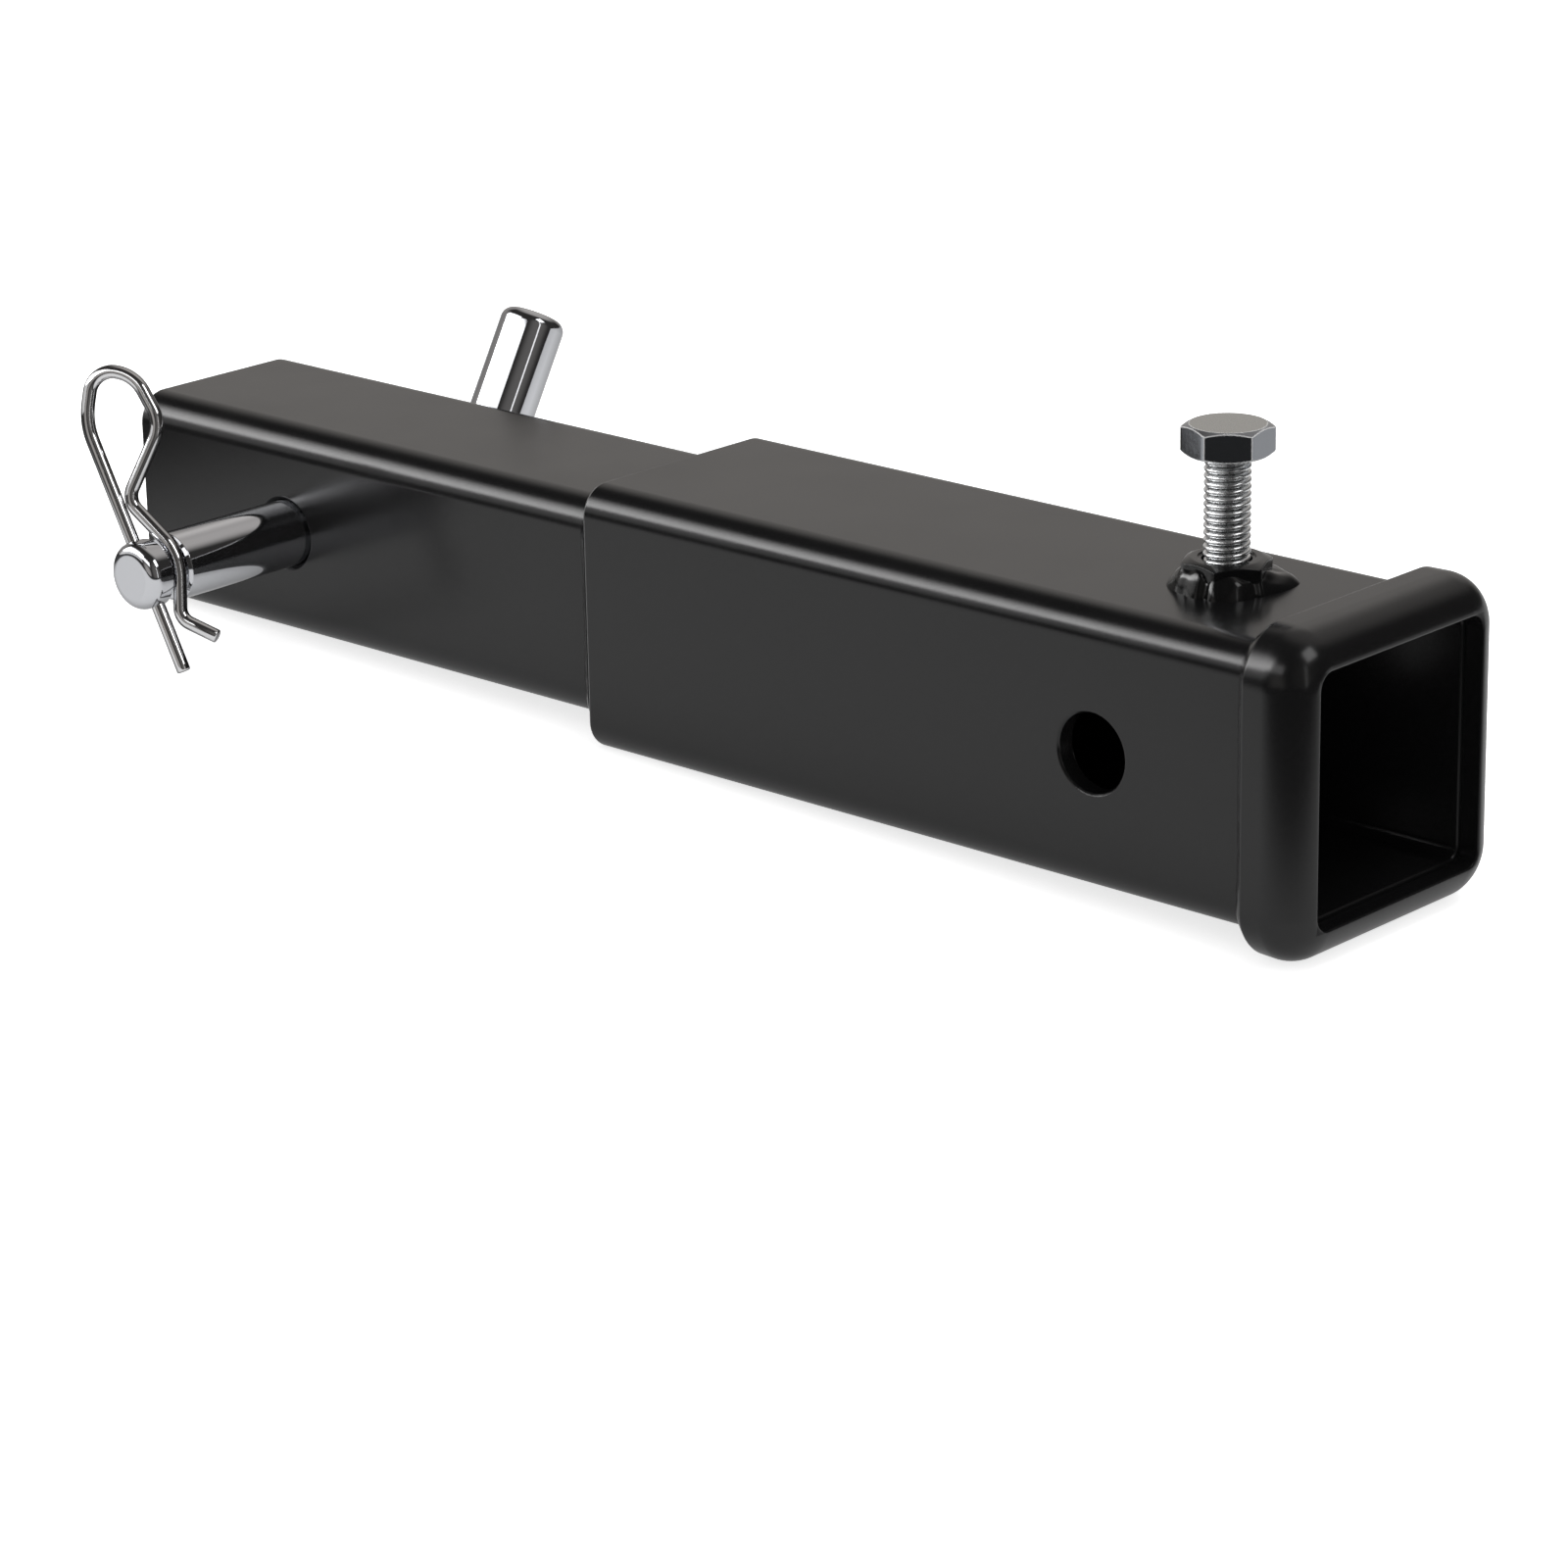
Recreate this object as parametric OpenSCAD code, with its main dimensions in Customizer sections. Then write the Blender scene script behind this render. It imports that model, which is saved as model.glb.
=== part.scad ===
// Hitch receiver extender: a square shank that slides into a vehicle's receiver and is held by a
// bent pin with a hairpin clip, and a larger receiver tube with a rounded collar round its mouth.
// A clamp bolt in a weld nut on top steadies whatever is slid into the mouth.
// X runs along the tubes towards the mouth, Z is up and -Y is the clip end of the hitch pin.
// The origin is the middle of the receiver's pin hole, on the axis of the tubes.

/* [Shank tube] */
// Outside width of the square shank
shank_w = 50.8; // [45:0.1:64]
// Wall of the shank
shank_wall = 5; // [3:0.1:6.5]
// Radius of the shank's long outside edges
shank_edge_r = 7.2; // [6:0.1:9]
// Length of shank in front of the receiver tube
shank_l = 154; // [130:1:260]
// Length of shank hidden inside the receiver tube
insert_l = 62; // [30:1:75]
// Distance of the hitch pin from the free end of the shank
pin_inset = 50; // [40:1:75]

/* [Receiver tube] */
// Clearance round a shank in the receiver tube, on each side
socket_gap = 0.7; // [0.4:0.05:1.2]
// Wall of the receiver tube
recv_wall = 4.4; // [3.6:0.1:6]
// Radius of the receiver's long outside edges
recv_edge_r = 7; // [6:0.1:9]
// Length from the receiver tube's closed end to the mouth
recv_l = 201; // [190:1:320]
// Distance of the receiver's pin hole from the mouth
hole_inset = 56; // [50:1:64]
// Diameter of the receiver's pin hole
hole_d = 17.2; // [16.4:0.1:18]

/* [Mouth collar] */
// How far the collar stands out from the receiver tube, on each side
collar_t = 4.6; // [4:0.1:8]
// Depth of the collar along the tube
collar_l = 14.5; // [13:0.1:20]
// Radius of the collar's rounded front edge
collar_round_r = 9.2; // [8.5:0.1:10]
// Step from the tube's inside out to the collar's, on each side
mouth_step = 1; // [0.6:0.1:2]
// Length of the front lip that the receiver tube butts against
lip_l = 4.8; // [4:0.1:9]

/* [Welds] */
// How far the shank's weld stops short of the receiver tube's outside
shank_weld_inset = 0.3; // [0.1:0.1:1.5]
// How far the collar's weld stops short of the collar's outside
collar_weld_inset = 1; // [0.4:0.1:2]
// Height of the weld lumps round the nut, as a share of the modelled one
nut_weld_share = 1; // [0.8:0.05:1.2]

/* [Clamp bolt and nut] */
// Distance of the clamp bolt from the mouth
bolt_inset = 45.2; // [40:0.1:47]
// Outside diameter of the bolt's thread
bolt_d = 9.8; // [9.4:0.1:10]
// Length of the bolt under its head
bolt_l = 30; // [26:1:34]
// Length of thread in sight between head and nut
bolt_stand = 21.7; // [16:0.1:24]
// Width across the flats of the bolt's head and of the nut
hex_af = 17; // [16:0.1:18]
// Height of the bolt's head
head_h = 6.4; // [5:0.1:7]
// Height of the nut
nut_h = 6.5; // [6:0.1:8]
// Turn of the bolt's head about its axis
head_turn = -22; // [-30:1:30]
// Turn of the nut about its axis
nut_turn = -7; // [-30:1:30]

/* [Hitch pin] */
// Diameter of the hitch pin
pin_d = 15.9; // [14:0.1:16.2]
// How far the clip end of the pin stands out from the shank
pin_out = 47.6; // [45:0.1:70]
// Distance from the shank to the start of the pin's bend
bend_gap = 1.2; // [0.8:0.1:8]
// Depth of the pin's groove
groove_depth = 3.2; // [2.4:0.1:3.6]
// Distance from the pin's end to the clip's hole
leg_y = 4.5; // [3.8:0.1:6]
// Radius of the bend, on the pin's centre line
pin_bend_r = 20; // [17:0.5:26]
// Angle of the bend
pin_bend_angle = 60; // [45:1:80]
// Straight length of the handle after the bend
handle_l = 30.5; // [20:0.5:60]
// Radius of the rounded rims at both ends of the pin
pin_end_r = 2.9; // [2:0.1:3.2]

/* [Hairpin clip] */
// Diameter of the clip's wire
wire_d = 3.2; // [2.8:0.1:3.6]
// Lean of the clip's straight leg from upright
clip_lean = 28.8; // [20:0.1:35]
// Swing of the clip about its straight leg, towards the tube
clip_swing = 36; // [34:0.5:40]
// Length of straight leg below the pin's axis
leg_down = 24.1; // [22:0.1:34]

/* [Hidden] */
$fn = 64;

// fits and small sizes
run_gap = 0.05;
bolt_hole_gap = 0.45;
wire_gap = 0.08;
touch_gap = 0.1;
hug_gap = 0.2;
// bends are a hair thinner than the straight runs, which lap into them
bend_thin = 0.02;
bend_lap = 0.15;
cut = 2;
min_inner_r = 1.2;

// shank and receiver tube
mouth_x = hole_inset;
recv_x = mouth_x - recv_l;
shank_x = recv_x - shank_l;
recv_end_x = mouth_x - lip_l;
recv_bore_w = shank_w + 2 * socket_gap;
recv_w = recv_bore_w + 2 * recv_wall;
top_z = recv_w / 2;
shank_hw = shank_w / 2;
pin_x = shank_x + pin_inset;

// collar, seen from the centre of its rounded corners
collar_x = mouth_x - collar_l;
collar_w = recv_w + 2 * collar_t;
mouth_w = recv_bore_w + 2 * mouth_step;
collar_edge_r = recv_edge_r + collar_t;
collar_centre = collar_w / 2 - collar_edge_r;
mouth_edge_r = collar_edge_r - (collar_w - mouth_w) / 2;

// welds, as legs in the steps that they fill
shank_weld_leg = (recv_w - shank_w) / 2 - shank_weld_inset;
collar_weld_leg = collar_t - collar_weld_inset;

// clamp bolt
bolt_x = mouth_x - bolt_inset;
bolt_r = bolt_d / 2;
nut_top_z = top_z + nut_h;
head_z = nut_top_z + bolt_stand;
hex_r = hex_af / sqrt(3);
head_chamfer = 0.8;
foot_inset = 0.25;
turn_slope = 25;
tip_chamfer = 1;

// hitch pin
pin_r = pin_d / 2;
pin_reach = shank_hw + pin_out;
pin_bend_start = shank_hw + bend_gap;
groove_r = pin_r - groove_depth;
groove_web = 0.25;
groove_room = 0.4;
rim_chamfer = 0.7;

// clip: corners of the wire's centre line and their bend radii, as [across, up, radius]
wire_r = wire_d / 2;
waist_r = 4.5;
waist_turn = 33.7;
waist_lean = 12.2;
waist_b = wire_d + touch_gap - waist_r * (cos(waist_lean) / cos(waist_turn) - 1);
hug_turn = 21.8;
hug_r = 13.5;
hug_reach = (groove_r + wire_r + hug_gap) / cos(clip_swing);
hug_b = hug_reach + hug_r * (1 / cos(hug_turn) - 1);
clip_pts = [
    [0, -leg_down, 0],
    [0, 37.4, 16.8],
    [6.4, 48.5, 5.4],
    [14.9, 42.9, 8.8],
    [16.4, 30.4, 8.1],
    [waist_b, 17.3, waist_r],
    [hug_b, 1.1, hug_r],
    [3.8, -12.6, 4],
    [10.4, -19.7, 0]
];

// the groove, as distances from the pin's clip end
groove_from = leg_y + wire_r + wire_gap + groove_web;
groove_to = leg_y + hug_reach * sin(clip_swing) + wire_r + groove_room;

// weld lumps round the nut, as [direction, distance from the nut's flats, radius, height]
lumps = [
    [222, -0.3, 5.4, 4.6],
    [255, -0.1, 4.9, 4.2],
    [292, -0.5, 4.6, 4.4],
    [332, -0.7, 4.2, 3.7],
    [18, 0.1, 4.1, 4],
    [45, 2.1, 5, 3.1],
    [95, -0.5, 4.6, 3.6],
    [142, -0.2, 4.5, 4],
    [183, -0.5, 4.8, 3.9]
];
lump_ring_h = 3;

// square with rounded corners
module rounded_square(w, r) {
    square([w - 2 * r, w], center = true);
    square([w, w - 2 * r], center = true);
    for (sx = [-1, 1], sy = [-1, 1])
        translate([sx * (w / 2 - r), sy * (w / 2 - r)]) circle(r = r);
}

// outline pushed along X from x0
module along_x(x0, l) {
    translate([x0, 0, 0]) rotate([90, 0, 90]) linear_extrude(height = l) children();
}

// cylinder along Y through y0
module across_y(x, y0, r, l) {
    translate([x, y0, 0]) rotate([-90, 0, 0]) cylinder(r = r, h = l);
}

module square_tube(x0, l, w, inner_w, r) {
    difference() {
        along_x(x0, l) rounded_square(w, r);
        along_x(x0 - cut, l + 2 * cut)
            rounded_square(inner_w, max(r - (w - inner_w) / 2, min_inner_r));
    }
}

// section carried round a square with rounded corners whose centres are at +-c
module ring(x0, c) {
    for (k = [0:3]) rotate([90 * k, 0, 0]) {
        translate([x0, c, c]) rotate([90, 0, 90]) rotate_extrude(angle = 90) children();
        translate([x0, -c, c]) rotate([-90, 0, 0]) rotate([0, 0, -90])
            linear_extrude(height = 2 * c) children();
    }
}

// slightly bulged corner weld on a surface at radius r; it grows towards -X
module weld_section(r, leg) {
    bulge = leg * 0.1;
    polygon([
        [r, 0], [r + leg, 0],
        for (t = [1:5]) [r + leg * (1 - t / 6) + bulge * sin(180 * t / 6),
            -leg * t / 6 - bulge * sin(180 * t / 6)],
        [r, -leg]
    ]);
}

module shank_tube() {
    color([0.1, 0.1, 0.11]) difference() {
        square_tube(shank_x, shank_l + insert_l, shank_w, shank_w - 2 * shank_wall, shank_edge_r);
        across_y(pin_x, -shank_w, pin_r + run_gap, 2 * shank_w);
    }
}

module receiver_tube() {
    color([0.1, 0.1, 0.11]) difference() {
        square_tube(recv_x, recv_end_x - recv_x, recv_w, recv_bore_w, recv_edge_r);
        across_y(0, -recv_w, hole_d / 2, 2 * recv_w);
        translate([bolt_x, 0, 0]) cylinder(r = bolt_r + bolt_hole_gap, h = recv_w);
    }
}

module collar_section() {
    difference() {
        union() {
            translate([mouth_edge_r, 0])
                square([collar_edge_r - mouth_edge_r, collar_l - collar_round_r]);
            intersection() {
                translate([collar_edge_r - collar_round_r, collar_l - collar_round_r])
                    circle(r = collar_round_r);
                translate([mouth_edge_r, collar_l - collar_round_r])
                    square([collar_edge_r, collar_round_r + cut]);
            }
        }
        translate([0, -cut]) square([recv_edge_r, collar_l - lip_l + cut]);
    }
}

module mouth_collar() {
    color([0.1, 0.1, 0.11]) ring(collar_x, collar_centre) collar_section();
}

module shank_weld() {
    color([0.09, 0.09, 0.1])
        ring(recv_x, shank_hw - shank_edge_r) weld_section(shank_edge_r, shank_weld_leg);
}

module collar_weld() {
    color([0.09, 0.09, 0.1])
        ring(collar_x, recv_w / 2 - recv_edge_r) weld_section(recv_edge_r, collar_weld_leg);
}

module hexagon(h, turn) {
    rotate([0, 0, turn]) cylinder(r = hex_r, h = h, $fn = 6);
}

// hexagon whose corners are turned down at the top, and at the foot too if both is true
module turned_hexagon(h, turn, both) {
    intersection() {
        hexagon(h, turn);
        rotate_extrude() polygon([
            [0, both ? 0 : -cut],
            [both ? hex_af / 2 - foot_inset : hex_r + cut, both ? 0 : -cut],
            [hex_r + cut, both ? head_chamfer + cut * tan(turn_slope) : -cut],
            [hex_r + cut, h - head_chamfer - cut * tan(turn_slope)],
            [hex_r + cut - (head_chamfer + cut * tan(turn_slope)) / tan(turn_slope), h],
            [0, h]
        ]);
    }
}

module weld_nut() {
    color([0.09, 0.09, 0.1]) translate([bolt_x, 0, top_z]) difference() {
        turned_hexagon(nut_h, nut_turn, false);
        translate([0, 0, -cut]) cylinder(r = bolt_r + run_gap, h = nut_h + 2 * cut);
    }
}

// dome of weld metal with its foot of radius r on the tube
module lump(r, h) {
    ball_r = (r * r + h * h) / (2 * h);
    translate([0, 0, h - ball_r]) sphere(r = ball_r);
}

module nut_weld() {
    color([0.09, 0.09, 0.1]) translate([bolt_x, 0, top_z]) difference() {
        union() {
            for (q = lumps) rotate([0, 0, q[0]]) translate([hex_af / 2 + q[1], 0, 0])
                lump(q[2], q[3] * nut_weld_share);
            cylinder(r = hex_r + touch_gap, h = lump_ring_h * nut_weld_share);
        }
        translate([0, 0, -recv_w]) cylinder(r = recv_w, h = recv_w);
        translate([0, 0, -cut]) hexagon(nut_h + 2 * cut, nut_turn);
    }
}

module clamp_bolt() {
    color([0.75, 0.76, 0.78]) translate([bolt_x, 0, head_z]) {
        turned_hexagon(head_h, head_turn, true);
        translate([0, 0, -bolt_l]) rotate_extrude() polygon([
            [0, 0], [bolt_r - tip_chamfer, 0], [bolt_r, tip_chamfer],
            [bolt_r, bolt_l + head_chamfer], [0, bolt_l + head_chamfer]
        ]);
    }
}

// half section of a round bar from the bend to l along its own Z, with a rounded rim at the end
module rim_profile(l) {
    translate([0, -bend_lap]) square([pin_r, l - pin_end_r + bend_lap]);
    square([pin_r - pin_end_r, l]);
    intersection() {
        translate([pin_r - pin_end_r, l - pin_end_r]) circle(r = pin_end_r);
        translate([pin_r - pin_end_r, l - pin_end_r]) square([pin_end_r, pin_end_r]);
    }
}

module hitch_pin() {
    l = pin_reach + pin_bend_start;
    groove_w = groove_to - groove_from;
    groove_z = l - groove_to;
    color([0.83, 0.84, 0.86]) translate([pin_x, 0, 0]) {
        difference() {
            translate([0, pin_bend_start, 0]) rotate([90, 0, 0]) rotate_extrude() difference() {
                rim_profile(l);
                translate([groove_r, groove_z]) square([pin_d, groove_w]);
                polygon([[pin_r - rim_chamfer, groove_z], [pin_r, groove_z - rim_chamfer],
                    [pin_d, groove_z - rim_chamfer], [pin_d, groove_z + rim_chamfer],
                    [pin_r - rim_chamfer, groove_z + rim_chamfer]]);
            }
            translate([0, leg_y - pin_reach, 0]) rotate([0, -clip_lean, 0])
                translate([0, 0, -pin_d]) cylinder(r = wire_r + wire_gap, h = 2 * pin_d);
        }
        translate([0, pin_bend_start, pin_bend_r]) rotate([0, 90, 0])
            rotate_extrude(angle = pin_bend_angle) translate([pin_bend_r, 0])
                circle(r = pin_r - bend_thin);
        translate([0, pin_bend_start, pin_bend_r]) rotate([pin_bend_angle, 0, 0])
            translate([0, 0, -pin_bend_r]) rotate([-90, 0, 0]) rotate_extrude() rim_profile(handle_l);
    }
}

// unit vector from a to b in the clip's plane
function unit(a, b) = let (v = [b[0] - a[0], b[1] - a[1]]) v / norm(v);
// signed turn between two unit vectors
function turn(u, v) = atan2(u[0] * v[1] - u[1] * v[0], u[0] * v[0] + u[1] * v[1]);
// distance from a corner to the start of its bend
function trim(i) = i == 0 || i == len(clip_pts) - 1 ? 0 :
    clip_pts[i][2] * tan(abs(turn(unit(clip_pts[i - 1], clip_pts[i]),
        unit(clip_pts[i], clip_pts[i + 1]))) / 2);

// straight run of wire between two bends; the plane is X across, Z up
module wire_run(i) {
    a = clip_pts[i];
    b = clip_pts[i + 1];
    u = unit(a, b);
    from = trim(i) - (i > 0 ? bend_lap : 0);
    to = norm([b[0] - a[0], b[1] - a[1]]) - trim(i + 1) + (i < len(clip_pts) - 2 ? bend_lap : 0);
    translate([a[0] + u[0] * from, 0, a[1] + u[1] * from])
        rotate([0, atan2(u[0], u[1]), 0]) cylinder(r = wire_r, h = to - from);
}

// bend of the wire at corner i
module wire_bend(i) {
    u = unit(clip_pts[i - 1], clip_pts[i]);
    v = unit(clip_pts[i], clip_pts[i + 1]);
    w = turn(u, v);
    side = w > 0 ? 1 : -1;
    r = clip_pts[i][2];
    start = [clip_pts[i][0] - u[0] * trim(i), clip_pts[i][1] - u[1] * trim(i)];
    centre = [start[0] - u[1] * r * side, start[1] + u[0] * r * side];
    from = atan2(start[1] - centre[1], start[0] - centre[0]);
    translate([centre[0], 0, centre[1]]) rotate([90, 0, 0])
        rotate([0, 0, side > 0 ? from : from + w])
            rotate_extrude(angle = abs(w)) translate([r, 0]) circle(r = wire_r - bend_thin);
}

module hairpin_clip() {
    color([0.83, 0.84, 0.86]) translate([pin_x, leg_y - pin_reach, 0])
        rotate([0, -clip_lean, 0]) rotate([0, 0, clip_swing]) {
            for (i = [0:len(clip_pts) - 2]) wire_run(i);
            for (i = [1:len(clip_pts) - 2]) wire_bend(i);
        }
}

shank_tube();
receiver_tube();
mouth_collar();
shank_weld();
collar_weld();
weld_nut();
nut_weld();
clamp_bolt();
hitch_pin();
hairpin_clip();
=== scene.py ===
import bmesh
import bpy
import math
import numpy as np
from mathutils import Matrix, Quaternion, Vector


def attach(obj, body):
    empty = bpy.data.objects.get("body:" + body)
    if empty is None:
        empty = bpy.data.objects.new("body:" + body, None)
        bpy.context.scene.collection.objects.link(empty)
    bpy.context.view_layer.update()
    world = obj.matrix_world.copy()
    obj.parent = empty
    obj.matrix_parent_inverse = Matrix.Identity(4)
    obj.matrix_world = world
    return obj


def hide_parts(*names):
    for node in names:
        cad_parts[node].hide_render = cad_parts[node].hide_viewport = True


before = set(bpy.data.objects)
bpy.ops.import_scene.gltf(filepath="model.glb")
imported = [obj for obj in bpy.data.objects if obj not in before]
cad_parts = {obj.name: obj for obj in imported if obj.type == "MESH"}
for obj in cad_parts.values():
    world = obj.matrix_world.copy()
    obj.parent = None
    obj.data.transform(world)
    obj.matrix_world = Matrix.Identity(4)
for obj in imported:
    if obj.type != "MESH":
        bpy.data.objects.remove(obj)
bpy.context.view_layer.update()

MM = 0.001

# sizes of the object, in mm, in the row frame
MOUTH_X = 56.0
RECV_LENGTH, SHANK_LENGTH, SHANK_HIDDEN, LIP_DEPTH = 201.0, 154.0, 62.0, 4.8
RECV_X = MOUTH_X - RECV_LENGTH
RECV_END_X = MOUTH_X - LIP_DEPTH
SHANK_X = RECV_X - SHANK_LENGTH
INSERT_END_X = RECV_X + SHANK_HIDDEN
SHANK_HALF, SHANK_R, SHANK_WALL = 25.4, 7.2, 5.0
RECV_HALF, RECV_R, RECV_IN = 30.5, 7.0, 26.1
COLLAR_HALF, COLLAR_L, COLLAR_ROUND = 35.1, 14.5, 9.2
COLLAR_R = RECV_R + COLLAR_HALF - RECV_HALF
REAR_X = MOUTH_X - COLLAR_L
MOUTH_IN = 27.1
HOLE_R = 8.6
PIN_X, PIN_R, PIN_Y = SHANK_X + 50.0, 7.95, -73.0
BOLT_X, BOLT_R, THREAD_ROOT_R, THREAD_PITCH = MOUTH_X - 45.2, 4.9, 4.05, 1.5
TOP_Z = RECV_HALF
NUT_H, HEAD_H, HEX_AF, BOLT_IN_SIGHT, BOLT_LENGTH = 6.5, 6.4, 17.0, 21.7, 30.0
HEAD_Z = TOP_Z + NUT_H + BOLT_IN_SIGHT
NUT_TURN, HEAD_TURN = -7.0, -22.0
CLIP_LEAN, CLIP_SWING, WIRE_R, LEG_Y = 28.8, 36.0, 1.6, -68.5
SHANK_EDGE, RECV_EDGE = 0.6, 1.0
SHANK_HOLE_RIM, RECV_HOLE_RIM = 0.9, 0.45
PIN_PLAY, BOLT_PLAY, NUT_PLAY, WIRE_PLAY = 0.05, 0.45, 0.35, 0.12
SHANK_WELD_LEG, COLLAR_WELD_LEG = 4.8, 3.6
NUT_FACE_R, HEAD_FACE_R, HEAD_FOOT_R = 7.7, 8.0, 8.2

# centres of the rounded corners, as a distance from the tubes' axis
SHANK_C = SHANK_HALF - SHANK_R
RECV_C = RECV_HALF - RECV_R
COLLAR_C = COLLAR_HALF - COLLAR_R
CORNERS = ((1, 1), (-1, 1), (-1, -1), (1, -1))
STEPS = (15, 30, 45, 60, 75)


# mesh helpers
def make(name, verts, faces, angle=35.0):
    """Object from vertices in mm; edges sharper than the angle stay sharp."""
    mesh = bpy.data.meshes.new(name)
    mesh.from_pydata([tuple(MM * float(c) for c in v) for v in verts], [], faces)
    mesh.validate()
    bm = bmesh.new()
    bm.from_mesh(mesh)
    bmesh.ops.recalc_face_normals(bm, faces=bm.faces)
    bm.to_mesh(mesh)
    bm.free()
    mesh.update()
    ob = bpy.data.objects.new(name, mesh)
    bpy.context.scene.collection.objects.link(ob)
    mesh.shade_smooth()
    mesh.set_sharp_from_angle(angle=math.radians(angle))
    return ob


def place(ob, m):
    ob.data.transform(m)
    ob.data.update()
    return ob


def shift(x, y=0.0, z=0.0):
    return Matrix.Translation((x * MM, y * MM, z * MM))


def grid_faces(rows, columns, wrap_rows, wrap_columns):
    """Faces of a grid of vertices, which may wrap round in either direction."""
    faces = []
    for i in range(rows if wrap_rows else rows - 1):
        a = i * columns
        b = ((i + 1) % rows) * columns
        for j in range(columns if wrap_columns else columns - 1):
            k = (j + 1) % columns
            faces.append((a + j, b + j, b + k, a + k))
    return faces


def capped_bar(rings):
    """Faces between rings of vertex numbers, closed at both ends."""
    faces = []
    for p, q in zip(rings, rings[1:]):
        for i in range(len(p)):
            k = (i + 1) % len(p)
            faces.append((p[i], p[k], q[k], q[i]))
    faces.append(tuple(reversed(rings[0])))
    faces.append(tuple(rings[-1]))
    return faces


def ring_path(c, per_corner, per_flat):
    """Rows of corner centre (y, z) and outward direction (y, z) round a rounded square."""
    rows = []
    for k in range(4):
        cy, cz = (c * sign for sign in CORNERS[k])
        ny, nz = (c * sign for sign in CORNERS[(k + 1) % 4])
        for i in range(per_corner + 1):
            a = math.radians(90 * k + 90 * i / per_corner)
            rows.append((cy, cz, math.cos(a), math.sin(a)))
        a = math.radians(90 * (k + 1))
        for i in range(1, per_flat):
            t = i / per_flat
            rows.append((cy + (ny - cy) * t, cz + (nz - cz) * t, math.cos(a), math.sin(a)))
    return np.array(rows)


def sweep_ring(name, section, c, per_corner=20, per_flat=1, push=None, angle=35.0):
    """Closed section [(radius from the corner centre, x)] carried round a rounded square."""
    path = ring_path(c, per_corner, per_flat)
    section = np.array(section, float)
    r = np.repeat(section[None, :, 0], len(path), 0)
    x = np.repeat(section[None, :, 1], len(path), 0)
    if push is not None:
        r, x = push(path, r, x)
    cy, cz, dy, dz = (path[:, None, k] for k in range(4))
    verts = np.stack([x, cy + r * dy, cz + r * dz], -1).reshape(-1, 3)
    return make(name, verts, grid_faces(len(path), len(section), True, True), angle)


def sweep_path(name, points, radii, n, up):
    """Round bar along points with a radius at each; its frame is carried without twist."""
    points = np.array(points, float)
    along = np.gradient(points, axis=0)
    along /= np.linalg.norm(along, axis=1)[:, None]
    side = np.cross(along[0], np.array(up, float))
    side /= np.linalg.norm(side)
    verts, rings = [], []
    for p, t, r in zip(points, along, radii):
        side = side - t * np.dot(side, t)
        side /= np.linalg.norm(side)
        third = np.cross(t, side)
        rings.append(range(len(verts), len(verts) + n))
        for i in range(n):
            a = 2 * math.pi * i / n
            verts.append(p + r * (side * math.cos(a) + third * math.sin(a)))
    return make(name, verts, capped_bar(rings), 40)


# cutters
def turned_cutter(profile, n):
    """Profile [(radius, z)] turned about Z; its first and last points are on the axis."""
    verts, faces, rows = [], [], []
    for r, z in profile:
        count = n if r > 0 else 1
        rows.append(range(len(verts), len(verts) + count))
        for i in range(count):
            a = 2 * math.pi * i / n
            verts.append((r * math.cos(a), r * math.sin(a), z))
    for p, q in zip(rows, rows[1:]):
        for i in range(n):
            k = (i + 1) % n
            if len(p) == 1:
                faces.append((p[0], q[k], q[i]))
            elif len(q) == 1:
                faces.append((p[i], p[k], q[0]))
            else:
                faces.append((p[i], p[k], q[k], q[i]))
    return make("cutter", verts, faces)


def straight_bore(r, z0, z1, n=64):
    return turned_cutter([(0, z0), (r, z0), (r, z1), (0, z1)], n)


def cross_bore(x, r, half, c):
    """Bore along Y through a tube of this half width, with both rims broken by c."""
    wide = r + c + 5
    end = half + 5
    profile = [(0, -end), (wide, -end), (r, c - half), (r, half - c), (wide, end), (0, end)]
    return place(turned_cutter(profile, 96), shift(x) @ Matrix.Rotation(math.radians(90), 4, "X"))


def cut_with(ob, cutter):
    mod = ob.modifiers.new("cut", "BOOLEAN")
    mod.operation = "DIFFERENCE"
    mod.solver = "EXACT"
    mod.object = cutter
    depsgraph = bpy.context.evaluated_depsgraph_get()
    mesh = bpy.data.meshes.new_from_object(ob.evaluated_get(depsgraph))
    ob.modifiers.clear()
    old = ob.data
    ob.data = mesh
    bpy.data.meshes.remove(old)
    bpy.data.objects.remove(cutter)
    mesh.shade_smooth()
    mesh.set_sharp_from_angle(angle=math.radians(30))


def weigh(ob):
    """Normals that follow the large faces."""
    mod = ob.modifiers.new("normals", "WEIGHTED_NORMAL")
    mod.keep_sharp = True
    mod.weight = 100
    return ob


# the two tubes
def tube_section(x0, x1, r_out, r_in, b):
    """Wall of a tube with its outer end edges rounded by b and its inner ones broken."""
    chamfer = 0.3
    s = [(r_in + chamfer, x0), (r_out - b, x0)]
    for t in STEPS:
        a = math.radians(t)
        s.append((r_out - b + b * math.sin(a), x0 + b - b * math.cos(a)))
    s += [(r_out, x0 + b), (r_out, x1 - b)]
    for t in STEPS:
        a = math.radians(t)
        s.append((r_out - b + b * math.cos(a), x1 - b + b * math.sin(a)))
    s += [(r_out - b, x1), (r_in + chamfer, x1), (r_in, x1 - chamfer), (r_in, x0 + chamfer)]
    return s


def shank_mesh():
    section = tube_section(SHANK_X, INSERT_END_X, SHANK_R, SHANK_R - SHANK_WALL, SHANK_EDGE)
    ob = sweep_ring("shank", section, SHANK_C)
    cut_with(ob, cross_bore(PIN_X, PIN_R + PIN_PLAY, SHANK_HALF, SHANK_HOLE_RIM))
    return weigh(ob)


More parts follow.
